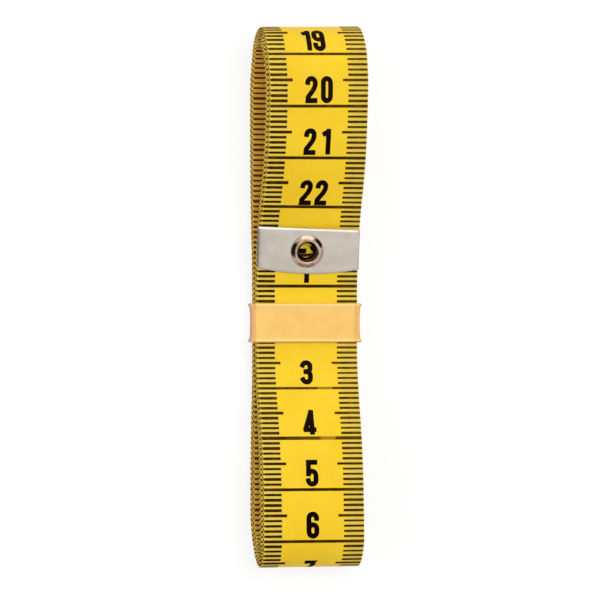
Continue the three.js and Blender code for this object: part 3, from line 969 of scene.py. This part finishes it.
def digit_strokes():
    """Centre lines of the ten digits: bold, narrow and round, from (0, 0) at the foot's middle. Their
    turning points are shares of the width and height, or millimetres."""
    wide = (DIGIT_WIDTH - DIGIT_STROKE) / 2
    tall = DIGIT_HEIGHT - DIGIT_STROKE
    middle = tall * 0.53
    shoulder = tall - wide
    oval = arc(0, shoulder, 0.94 * wide, wide, 0, 180) + arc(0, wide, 0.94 * wide, wide, 180, 360)
    post = 0.75 * wide
    one_flag = [(post - 0.85 * MM, tall * 0.86), (post, tall * 0.97)]
    two = arc(0, shoulder, wide, wide, 184, 0)
    two += [(0.93 * wide, 0.68 * tall), (0.5 * wide, 0.5 * tall), (-0.9 * wide, 0.16 * tall)]
    two += [(-0.96 * wide, 0), (1.05 * wide, 0)]
    three_waist = (-0.25 * wide, middle)
    three_upper = arc(0, shoulder - 0.22 * MM, wide, wide, 165, 0)
    three_upper += arc(0, middle + 0.7 * wide, wide * 0.95, wide * 0.7, 0, -90)
    three_lower = arc(0, middle - wide * 0.9, wide, wide * 0.9, 90, 0)
    three_lower += arc(0, wide + 0.16 * MM, wide, wide, 0, -165)
    four_top = (0.38 * MM, tall - 0.06 * MM)
    four_bar = [(-0.9 * MM, 0.62 * MM), (0.92 * MM, 0.62 * MM)]
    five_top = [(0.95 * wide, tall), (-0.85 * wide, tall), (-0.9 * wide, 0.45 * tall)]
    five_bowl = arc(0, 1.64 * MM, wide, 0.85 * MM, 150, 0) + arc(0, wide, wide, wide, 0, -178)
    six = [(0.98 * wide, shoulder - 0.12 * MM)] + arc(0, shoulder, wide, wide, 0, 180)
    six += arc(0, wide, wide, wide, 180, 360) + arc(0, 1.44 * MM, wide, wide * 0.95, 0, 170)
    seven = [(-wide, tall), (wide, tall), (0.3 * wide, 0.5 * tall), (-0.25 * wide, 0)]
    eight_upper = arc(0, (tall + middle) / 2, wide * 0.88, (tall - middle) / 2, 0, 360, 2 * ARC_STEPS)
    eight_lower = arc(0, middle / 2, wide, middle / 2, 0, 360, 2 * ARC_STEPS)
    return (
        [oval + oval[:1]],
        [[(post, tall), (post, 0)], one_flag],
        [two],
        [three_upper + [three_waist], [three_waist] + three_lower],
        [[four_top, (-0.82 * MM, 0.8 * MM)], four_bar, [four_top, (0.48 * MM, 0)]],
        [five_top, five_bowl],
        [six],
        [seven],
        [eight_upper, eight_lower],
        [[(-x, tall - y) for x, y in six]],
    )


def even_line(points, step):
    """A line with its long parts cut into steps and its doubled points dropped."""
    cut = [np.array(points[0])]
    for point in points[1:]:
        start, end = cut[-1], np.array(point)
        gap = np.linalg.norm(end - start)
        if gap < DOUBLED:
            continue
        pieces = max(1, math.ceil(gap / step))
        cut += [start + (end - start) * k / pieces for k in range(1, pieces + 1)]
    return cut


def stroke_solid(points, half, low, high):
    """A thin solid along a digit's stroke, with eased square ends unless the stroke is closed."""
    centre = even_line(points, STROKE_STEP)
    closed = np.linalg.norm(centre[0] - centre[-1]) < CLOSED
    if closed:
        centre = centre[:-1]
    count = len(centre)
    stations = []
    for index, place in enumerate(centre):
        steps = []
        if closed or index:
            steps.append(place - centre[index - 1])
        if closed or index < count - 1:
            steps.append(centre[(index + 1) % count] - place)
        ways = [step / np.linalg.norm(step) for step in steps]
        way = sum(ways) / np.linalg.norm(sum(ways))
        lean = max(LEAST_LEAN, float(way @ ways[0]))
        stations.append((place, np.array([-way[1], way[0]]) * half / lean, way))
    if not closed:
        for end, sign in ((0, -1), (-1, 1)):
            place, side, way = stations[end]
            caps = [(place + way * sign * half * ahead, side * share, way) for ahead, share in STROKE_CAPS]
            stations = caps[::-1] + stations if sign < 0 else stations + caps
    corners = []
    for place, side, _ in stations:
        left, right = place + side, place - side
        for x, y, up in ((*left, high), (*place, high), (*right, high), (*right, low), (*left, low)):
            corners.append((x, -y, up))
    return corners, skin(len(stations), 5, closed)


def digit_forms():
    """The ten digits as thin flat solids, in a collection in the order of their names."""
    forms = bpy.data.collections.new("digit_forms")
    bpy.context.scene.collection.children.link(forms)
    for digit, strokes in enumerate(digit_strokes()):
        parts = []
        for order, stroke in enumerate(strokes):
            lifted = [(x, y + DIGIT_STROKE / 2) for x, y in stroke]
            parts.append(stroke_solid(lifted, DIGIT_STROKE / 2, INK_FOOT, INK_TOP - order * STROKE_DROP))
        mesh = mesh_from(f"digit_{digit}", *joined(parts))
        forms.objects.link(bpy.data.objects.new(f"digit_{digit}", mesh))
    return forms


def eyelet_punch(name):
    """A round cutter for the eyelet's hole in the tape and in the tip."""
    work = bmesh.new()
    sizes = {"radius1": PUNCH_RADIUS, "radius2": PUNCH_RADIUS, "depth": PUNCH_HEIGHT}
    bmesh.ops.create_cone(work, cap_ends=True, segments=PUNCH_SEGMENTS, **sizes)
    bmesh.ops.translate(work, verts=work.verts, vec=(EYELET_ASIDE, EYELET_ALONG, 0))
    mesh = bpy.data.meshes.new(name)
    work.to_mesh(mesh)
    work.free()
    return object_from(name, mesh)


def cut_with(piece, cutter):
    modifier = piece.modifiers.new("hole", "BOOLEAN")
    modifier.operation = "DIFFERENCE"
    modifier.solver = "EXACT"
    modifier.object = cutter


def folded_tip(name, tape_end, out, middle, width, short):
    """A flat sheet folded over the tape's end: out is 1 or -1, the way out of the tape, and the fold
    is set back by short."""
    points = []
    for column in range(TIP_COLUMNS + 1):
        across = (column / TIP_COLUMNS - 0.5) * width
        share = 2 * across / width
        turn_at = TIP_FOLD - TIP_SHEET / 2 - short - share * TIP_SKEW - TIP_FOLD_RUN
        mouth = TIP_FOLD - TIP_LENGTH + TIP_BULGE * share * share - share * TIP_MOUTH_SKEW
        crown = TIP_CROWN * (1 - share**TIP_CROWN_POWER)
        profile = []
        for way in np.arange(TIP_RUN_STEPS) / TIP_RUN_STEPS:
            raised = middle + crown * ease(min(1, 4 * way * (1 - way)))
            profile.append((mouth + (turn_at - mouth) * way, raised))
        profile += arc(turn_at, 0, TIP_FOLD_RUN, middle, 90, -90, TIP_FOLD_STEPS)
        for way in np.arange(1, TIP_RUN_STEPS + 1) / TIP_RUN_STEPS:
            profile.append((turn_at + (mouth - turn_at) * way, -middle))
        points += [(across, tape_end + out * along, up) for along, up in profile]
    rows = len(profile)
    faces = []
    for column in range(TIP_COLUMNS):
        for row in range(rows - 1):
            a, b = column * rows + row, (column + 1) * rows + row
            faces.append((a, b, b + 1, a + 1))
    piece = object_from(name, mesh_from(name, points, faces))
    wall = piece.modifiers.new("sheet", "SOLIDIFY")
    wall.thickness = TIP_SHEET
    wall.offset = 0
    return piece


def soften_edges(piece):
    modifier = piece.modifiers.new("edges", "BEVEL")
    modifier.width = TIP_EDGE
    modifier.segments = TIP_EDGE_STEPS
    modifier.limit_method = "ANGLE"
    modifier.angle_limit = math.radians(TIP_EDGE_ANGLE)


def eyelet_section():
    """Closed section of the eyelet, (radius, up): rolled flange, bore, back rim and barrel."""
    seat = TIP_MIDDLE + TIP_SHEET / 2 + TIP_CROWN
    dome = [(EYELET_FLANGE, seat)]
    for share in np.linspace(0, 1, CROWN_STEPS + 1):
        rise = CROWN_RISE * (1 - (1 - share) ** CROWN_POWER)
        radius = EYELET_SHOULDER - (EYELET_SHOULDER - EYELET_CROWN) * share
        dome.append((radius, seat + SHOULDER_HEIGHT + rise))
    throat_width = EYELET_CREST - EYELET_BORE
    throat_middle = seat + THROAT_HEIGHT
    throat = arc(EYELET_CREST, throat_middle, throat_width, THROAT_ROUND, THROAT_START, 180, THROAT_STEPS)
    bore = [(EYELET_BORE, seat * BORE_TOP), (EYELET_FUNNEL, 0), (EYELET_BACK_BORE, seat * BORE_FOOT)]
    rim_width = EYELET_BACK_RIM - EYELET_BACK_BORE
    rim = arc(EYELET_BACK_RIM, -seat, rim_width, BACK_RIM_ROUND, 180, 360, BACK_RIM_STEPS)
    return dome + throat + bore + rim + [(EYELET_BARREL, -seat), (EYELET_BARREL, seat)]


def flat_eyelet(name):
    section = eyelet_section()
    points = []
    for aside, ahead in arc(0, 0, 1, 1, 0, 360, EYELET_SEGMENTS)[:-1]:
        for radius, up in section:
            points.append((EYELET_ASIDE + radius * aside, EYELET_ALONG + radius * ahead, up))
    return object_from(name, mesh_from(name, points, skin(EYELET_SEGMENTS, len(section), True)))


# Rubber band

def band_ring():
    """Stations round the waist, (across, up, outward across, outward up), from its lower right corner."""
    low, high = WAIST_UNDER - BAND_CLEARANCE, WAIST_TOP + BAND_CLEARANCE
    straight = HALF_WIDTH + BAND_CLEARANCE - BAND_CORNER
    corners = (
        (straight, low + BAND_CORNER, -90),
        (straight, high - BAND_CORNER, 0),
        (-straight, high - BAND_CORNER, 90),
        (-straight, low + BAND_CORNER, 180),
    )
    bends = []
    for x, up, start in corners:
        ways = arc(0, 0, 1, 1, start, start + 90, BAND_CORNER_STEPS)
        bends.append([(x + BAND_CORNER * way[0], up + BAND_CORNER * way[1], *way) for way in ways])
    stations = []
    for index, bend in enumerate(bends):
        x, up, *way = bend[-1]
        next_x, next_up, *_ = bends[(index + 1) % 4][0]
        steps = BAND_FACE_STEPS if index % 2 else BAND_SIDE_STEPS
        stations += bend
        for share in np.arange(1, steps) / steps:
            stations.append((x + (next_x - x) * share, up + (next_up - up) * share, *way))
    return stations


def hump(distance, width):
    return math.exp(-((distance / width) ** 2))


def rubber_band(name):
    """A wide band with a raised lip along each rim, whose rims stand off at the tape's edges."""
    section = [(-BAND_HALF * math.cos(math.pi * step / BAND_STEPS), True) for step in range(BAND_STEPS + 1)]
    section += [(along, False) for along, _ in section[-2:0:-1]]
    crease_at = HALF_WIDTH + BAND_CLEARANCE - BAND_CORNER
    middle = BAND_THICKNESS / 2
    stations = band_ring()
    points = []
    for x, up, way_x, way_up in stations:
        crease = BAND_CREASE * hump(x - crease_at, BAND_CREASE_WIDTH) * abs(way_up)
        for along, is_outer in section:
            inset = BAND_HALF - abs(along)
            closing = math.sqrt(max(0.0, 1 - max(0.0, 1 - inset / BAND_EDGE) ** 2))
            full = BAND_THICKNESS + BAND_LIP * hump(inset - BAND_LIP_INSET, BAND_LIP_WIDTH) - crease
            out = middle + (full - middle) * closing if is_outer else middle - middle * closing
            out += BAND_FLARE * abs(way_x) * (abs(along) / BAND_HALF) ** BAND_FLARE_POWER
            points.append((BAND_ASIDE + x + way_x * out, BAND_CENTRE + along, up + way_up * out))
    mesh = mesh_from(name, points, skin(len(stations), len(section), True))
    mesh.shade_smooth()
    return object_from(name, mesh)


# Finishes

def linear(red, green, blue):
    """A colour given as it looks on a screen, 0 to 255, as the renderer's own numbers."""
    parts = (value / 255 for value in (red, green, blue))
    return (*(part / 12.92 if part <= 0.04045 else ((part + 0.055) / 1.055) ** 2.4 for part in parts), 1)


class Finish(Nodes):
    """A material's nodes: a ground with tints over it, which ends in the material's own shader."""

    def __init__(self, name):
        self.material = bpy.data.materials.new(name)
        self.material.use_nodes = True
        super().__init__(self.material.node_tree)
        self.shader = self.tree.nodes["Principled BSDF"].inputs

    def on_object(self):
        return self.add("ShaderNodeTexCoord").outputs["Object"]

    def on_tape(self):
        """Place on the flat tape."""
        return self.add("ShaderNodeAttribute", attribute_name="flat").outputs["Vector"]

    def noise(self, place, scale, detail):
        feeds = {"Vector": place, "Scale": scale, "Detail": detail, "Roughness": NOISE_ROUGHNESS}
        return self.add("ShaderNodeTexNoise", feeds).outputs["Fac"]

    def rise(self, value, reach, most):
        """Nothing up to the first of two levels, most from the second on."""
        return self.spread(value, *reach, 0, most)

    def patches(self, place, scale, detail, levels, most=1):
        return self.rise(self.noise(place, scale, detail), levels, most)

    def off(self, value, middle):
        """Distance from a middle."""
        return self.size(self.minus(value, middle))

    def near(self, value, middle, distances, most):
        return self.rise(self.off(value, middle), distances, most)

    def mixed(self, share, first, second):
        """Two colours mixed, each a socket or a colour as it looks on a screen."""
        mix = self.add("ShaderNodeMix", {"Factor": share}, data_type="RGBA")
        for key, colour in ((6, first), (7, second)):
            self.feed(mix.inputs[key], linear(*colour) if isinstance(colour, tuple) else colour)
        return mix.outputs[2]

    def ground(self, share, first, second):
        self.base = self.mixed(share, first, second)

    def tint(self, value, reach, most, colour):
        self.base = self.mixed(self.rise(value, reach, most), self.base, colour)

    def bump(self, height, strength, distance):
        feeds = {"Strength": strength, "Distance": distance, "Height": height}
        self.feed(self.shader["Normal"], self.add("ShaderNodeBump", feeds).outputs[0])

    def end(self, pattern, roughness, full=1, **plain):
        """Feeds the shader and gives the material. The roughness is most where the pattern is full, and
        plain values go by the shader's own labels, with underscores."""
        self.feed(self.shader["Base Color"], self.base)
        self.feed(self.shader["Roughness"], self.spread(pattern, 0, full, *roughness))
        for label, value in plain.items():
            self.shader[label.replace("_", " ")].default_value = value
        return self.material


def tape_finish():
    """Coated cloth: a fine weave under a satin yellow coat, a little uneven, duller at its edges, with its
    back face painted browner as shade for the hollows between the turns.
    """
    finish = Finish("coated_yellow_cloth")
    flat = finish.on_tape()
    across, along, up = finish.parts(flat)
    specks = finish.patches(flat, *COAT_SPECKS)
    from_edge = finish.minus(HALF_WIDTH, finish.size(across))
    finish.ground(finish.patches(flat, *COAT_CLOUDS), *COAT)
    finish.tint(specks, *COAT_SPECK)
    finish.tint(from_edge, *MARGIN)
    # Painted shade on the back face
    finish.tint(up, *BACK_COAT_SHADE)
    finish.tint(from_edge, *SELVAGE)
    warp, weft = (finish.math("SINE", finish.times(way, math.tau / THREAD)) for way in (across, along))
    weave = finish.times(finish.times(warp, weft), WEAVE_SHARE)
    finish.bump(finish.plus(weave, specks), *COAT_BUMP)
    return finish.end(specks, COAT_ROUGHNESS, Specular_IOR_Level=COAT_SPECULAR)


def ink_finish(name, tones, rub):
    """Printing ink, full in tone or thin so that the coat shows through, and rubbed in places; on the back
    face it is painted a warm brown as shade for the hollows between the turns.
    """
    finish = Finish(name)
    place = finish.on_object()
    ahead = finish.parts(place)["Y"]
    across, _, up = finish.parts(finish.on_tape())
    worn = finish.plus(finish.patches(place, *INK_WEAR), finish.patches(place, *INK_PITS))
    worn = finish.math("MINIMUM", worn, MOST_WORN)
    on_lines = finish.times(finish.near(ahead, *RUBBED_LINES), rub)
    in_gap = finish.times(finish.near(across, *LINE_GAP), on_lines)
    right, at_top = finish.rise(across, *RUBBED_RIGHT), finish.rise(ahead, *RUBBED_TOP)
    rubbed = finish.plus(finish.plus(right, at_top), finish.near(ahead, *RUBBED_BELOW_BAND))
    rubbed = finish.times_plus(on_lines, finish.near(across, *RUBBED_FIELD), rubbed)
    blotches = finish.plus(finish.patches(place, *INK_BLOTCHES), LEAST_BLOTCH)
    finish.ground(worn, *tones)
    finish.tint(finish.times(finish.times(rubbed, rub), blotches), *RUBBED_INK)
    finish.tint(in_gap, *GAP_INK)
    # Painted shade on the back face's ink
    finish.tint(up, *BACK_INK_SHADE)
    finish.tint(finish.size(across), *EDGE_INK)
    return finish.end(worn, INK_ROUGHNESS, MOST_WORN, Specular_IOR_Level=INK_SPECULAR)


def tip_finish():
    """Plated sheet, satin: fine lines across the tape and faint handling marks, with painted shade along
    its side edges.
    """
    finish = Finish("satin_plated_sheet")
    place = finish.on_object()
    stretched = finish.add("ShaderNodeMapping", {"Vector": place, "Scale": PLATE_STRETCH}).outputs[0]
    marks = finish.patches(place, *PLATE_MARKS)
    finish.ground(marks, *PLATE)
    # Painted shade along the side edges
    finish.tint(finish.size(finish.parts(finish.on_tape())["X"]), *PLATE_EDGE_SHADE)
    finish.bump(finish.noise(stretched, *PLATE_LINES), *PLATE_BUMP)
    return finish.end(marks, PLATE_ROUGHNESS, Metallic=1)


def eyelet_finish():
    """Polished nickel with a warm cast, with painted shade inside the bore."""
    finish = Finish("polished_warm_nickel")
    marks = finish.patches(finish.on_object(), *NICKEL_MARKS)
    across, along, _ = finish.parts(finish.on_tape())
    from_middle = finish.xyz(X=finish.minus(across, EYELET_ASIDE), Y=finish.minus(along, EYELET_ALONG))
    finish.ground(marks, *NICKEL)
    # Painted shade inside the bore
    finish.tint(finish.vector("LENGTH", from_middle)["Value"], *BORE_SHADE)
    return finish.end(marks, NICKEL_ROUGHNESS, Metallic=1)


def latex_finish():
    """Natural rubber: amber, faintly mottled, satin and a little see-through in depth, with painted
    highlights along its lips and painted shade at its rims, crease and side walls.
    """
    finish = Finish("natural_rubber")
    place = finish.on_object()
    across, along, up = finish.parts(place)
    specks = finish.patches(place, *LATEX_SPECKS)
    from_rim = finish.minus(BAND_HALF, finish.off(along, BAND_CENTRE))
    off_rim = finish.rise(from_rim, *OFF_RIM)
    # Painted shade of the band's side walls, darker low down
    side = finish.mixed(finish.rise(up, *BAND_SIDE_LIGHT), *BAND_SIDE_SHADE)
    finish.ground(finish.patches(place, *LATEX_CLOUDS), *LATEX)
    # Painted highlight along the lips
    finish.tint(finish.times(finish.rise(from_rim, *LIP_HIGHLIGHT_SHARE), off_rim), *LATEX_LIP_HIGHLIGHT)
    # Painted shade at the rims
    finish.tint(off_rim, *LATEX_RIM_SHADE)
    # Painted shade at the crease
    finish.tint(finish.off(across, CREASE_ASIDE), *LATEX_CREASE_SHADE)
    finish.tint(finish.off(across, BAND_ASIDE), *BAND_SIDE_SHADE_SHARE, side)
    # Painted shade along the lower rim
    finish.tint(finish.minus(along, band_low.y), *LATEX_LOWER_RIM_SHADE)
    finish.tint(specks, *LATEX_SPECK)
    finish.bump(specks, *LATEX_BUMP)
    return finish.end(specks, LATEX_ROUGHNESS, Specular_IOR_Level=LATEX_SPECULAR, **LATEX_DEPTH)


# The pieces

def printed(name, tree, first, last, values):
    """The printed scale from its first mark or number to its last."""
    piece = object_from(name, bpy.data.meshes.new(name))
    add_tree(piece, tree, {**values, "Zero": ZERO_INSET, "First": first, "Count": last - first + 1})
    return make_plain(piece)


route_points, route_tilts, route_yaws, tape_length = tape_route()
route = route_curve(route_points, route_tilts, route_yaws)
cloth = tape_finish()
mark_ink = ink_finish("brown_ink", MARK_INK, MARK_RUB)
number_ink = ink_finish("black_ink", NUMBER_INK, NUMBER_RUB)
sheet_metal = tip_finish()
eyelet_metal = eyelet_finish()
latex = latex_finish()
laying = {"Route": route, "Lead": PATH_LEAD}

tape_hank = flat_tape("tape_hank", SEAM + SEAM_GAP, tape_length, True)
tape_flap = flat_tape("tape_flap", 0, SEAM - SEAM_GAP, False)
hole_cutter = eyelet_punch("hole_cutter")
cut_with(tape_flap, hole_cutter)
for piece in (tape_hank, tape_flap):
    add_tree(piece, WOUND_PIECE, {**laying, "Material": cloth})
    make_plain(piece)

flap_tip = folded_tip("flap_tip", 0, -1, TIP_MIDDLE, TIP_WIDTH, TIP_SHORT)
cut_with(flap_tip, hole_cutter)
inner_tip = folded_tip("inner_tip", tape_length, 1, INNER_TIP_MIDDLE, INNER_TIP_WIDTH, 0)
for piece in (flap_tip, inner_tip):
    soften_edges(piece)
    add_tree(piece, WOUND_PIECE, {**laying, "Material": sheet_metal})
    make_plain(piece, TIP_SMOOTH_ANGLE)

flap_eyelet = flat_eyelet("flap_eyelet")
add_tree(flap_eyelet, WOUND_PIECE, {**laying, "Material": eyelet_metal})
make_plain(flap_eyelet, EYELET_SMOOTH_ANGLE)

short_mark = edge_mark("short_mark", SHORT_MARKS, MARK_WIDTH)
half_mark = edge_mark("half_mark", HALF_MARKS, HALF_MARK_WIDTH)
line_mark = long_line("line_mark")
digits = digit_forms()
mark_values = {
    **laying,
    "Material": mark_ink,
    "Spacing": MM,
    "Short mark": short_mark,
    "Half mark": half_mark,
    "Long line": line_mark,
    "Thinnest": THINNEST_MARK,
    "Thickest": THICKEST_MARK,
    "Seed": MARK_SEED,
}
number_values = {
    **laying,
    "Material": number_ink,
    "Spacing": CM,
    "Digits": digits,
    "Digit step": NUMERAL_STEP,
    "Above line": NUMERAL_GAP,
    "Aside": NUMERAL_ASIDE,
    "Tens aside": TENS_SHIFT,
    "Leading one": LEADING_ONE_SHIFT,
    "Leading one closer": LEADING_ONE_CLOSER,
    "Lone one share": LONE_ONE_SHARE,
    "Late from": LATE_NUMBERS,
    "Late closer": LATE_CLOSER,
}
seam_mark = math.ceil((SEAM - ZERO_INSET) / MM)
seam_number = math.floor((SEAM - ZERO_INSET) / CM)
last_mark = math.floor((tape_length - ZERO_INSET) / MM)
last_number = math.floor((tape_length - ZERO_INSET - NUMERAL_GAP) / CM)
hank_marks = printed("hank_marks", SCALE_MARKS, seam_mark, last_mark, mark_values)
flap_marks = printed("flap_marks", SCALE_MARKS, 0, seam_mark - 1, mark_values)
hank_numbers = printed("hank_numbers", SCALE_NUMERALS, seam_number + 1, last_number, number_values)
flap_number = printed("flap_number", SCALE_NUMERALS, 1, seam_number, number_values)

waist_band = rubber_band("waist_band")
waist_band.data.materials.append(latex)

for helper in (route, hole_cutter, short_mark, half_mark, line_mark, *digits.objects):
    bpy.data.objects.remove(helper)
bpy.data.collections.remove(digits)

# Bodies, the flap's pieces with their placing applied and no body, and the CAD parts they replace hidden
for piece in (tape_hank, hank_marks, hank_numbers, inner_tip):
    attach(piece, "hank")
for piece in (flap_tip, flap_eyelet):
    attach(piece, "free_end")
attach(waist_band, "band")
for piece in (tape_flap, flap_marks, flap_number):
    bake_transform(piece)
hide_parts("tape_winding")
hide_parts("tape_free_end")
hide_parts("tip_plate")
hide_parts("eyelet")
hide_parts("inner_tip_plate")
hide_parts("rubber_band")


# Floor, light and camera

def ray_kinds(nodes):
    """Whether a ray comes from the camera, and whether it left something glossy or clear."""
    ray = nodes.add("ShaderNodeLightPath").outputs
    return ray["Is Camera Ray"], nodes.math("MAXIMUM", ray["Is Glossy Ray"], ray["Is Transmission Ray"])


def studio_floor():
    """A white floor that keeps the object's shadow and is seen and mirrored as the background is."""
    half = FLOOR_HALF
    corners = [(-half, -half, 0), (half, -half, 0), (half, half, 0), (-half, half, 0)]
    mesh = mesh_from("studio_floor", corners, [(0, 1, 2, 3)])
    floor = object_from("studio_floor", mesh)
    floor.location.z = FLOOR_LEVEL
    material = bpy.data.materials.new("white_floor")
    material.use_nodes = True
    nodes = Nodes(material.node_tree)
    nodes.tree.nodes.clear()
    seen = nodes.math("MAXIMUM", *ray_kinds(nodes))
    paint = nodes.add("ShaderNodeBsdfDiffuse", {"Color": FLOOR_PAINT})
    shaded = nodes.add("ShaderNodeBsdfDiffuse", {"Color": FLOOR_SHADE})
    glow = nodes.add("ShaderNodeEmission", {"Color": WHITE, "Strength": FLOOR_GLOW})
    both = nodes.add("ShaderNodeAddShader", {0: shaded.outputs[0], 1: glow.outputs[0]})
    pick = nodes.add("ShaderNodeMixShader", {0: seen, 1: paint.outputs[0], 2: both.outputs[0]})
    nodes.add("ShaderNodeOutputMaterial", {"Surface": pick.outputs[0]})
    mesh.materials.append(material)


def studio_world():
    """Soft light all round, a room with panels for metal to mirror, and white behind the object."""
    world = bpy.data.worlds.new("studio")
    bpy.context.scene.world = world
    world.use_nodes = True
    nodes = Nodes(world.node_tree)
    nodes.tree.nodes.clear()
    from_camera, mirrored = ray_kinds(nodes)
    way = nodes.add("ShaderNodeTexCoord").outputs["Generated"]
    room = nodes.spread(nodes.parts(way)["Z"], *ROOM_LIGHT)
    for panel, rim, core, light in PANELS:
        nearness = nodes.vector("DOT_PRODUCT", way, panel)["Value"]
        room = nodes.times(room, nodes.spread(nearness, rim, core, 1, light))
    lights = []
    for level in (AMBIENT, room, 1):
        lights.append(nodes.add("ShaderNodeBackground", {"Color": WHITE, "Strength": level}).outputs[0])
    ambient, around, white = lights
    first = nodes.add("ShaderNodeMixShader", {0: mirrored, 1: ambient, 2: around}).outputs[0]
    second = nodes.add("ShaderNodeMixShader", {0: from_camera, 1: first, 2: white}).outputs[0]
    nodes.add("ShaderNodeOutputWorld", {"Surface": second})


def softbox(name, place, size, power, mirrored):
    """A square lamp aimed at the origin."""
    light = bpy.data.lights.new(name, "AREA")
    light.shape = "SQUARE"
    light.size = size
    light.energy = power
    lamp = object_from(name, light)
    lamp.location = place
    lamp.rotation_euler = (-Vector(place)).to_track_quat("-Z", "Y").to_euler()
    lamp.visible_glossy = mirrored


def photo_camera():
    lens = bpy.data.cameras.new("photo_camera")
    lens.sensor_fit = "HORIZONTAL"
    lens.sensor_width = SENSOR
    lens.lens = CAMERA_FOCUS / IMAGE_SIZE * SENSOR
    lens.clip_start = CLIP_START
    camera = object_from("photo_camera", lens)
    back = Vector((-math.sin(CAMERA_TILT), 0, math.cos(CAMERA_TILT)))
    camera.location = CAMERA_AIM + back * CAMERA_DISTANCE
    camera.rotation_euler = (0, -CAMERA_TILT, 0)
    bpy.context.scene.camera = camera


studio_floor()
studio_world()
for box in SOFTBOXES:
    softbox(*box)
photo_camera()
bpy.context.scene.view_settings.view_transform = "Standard"
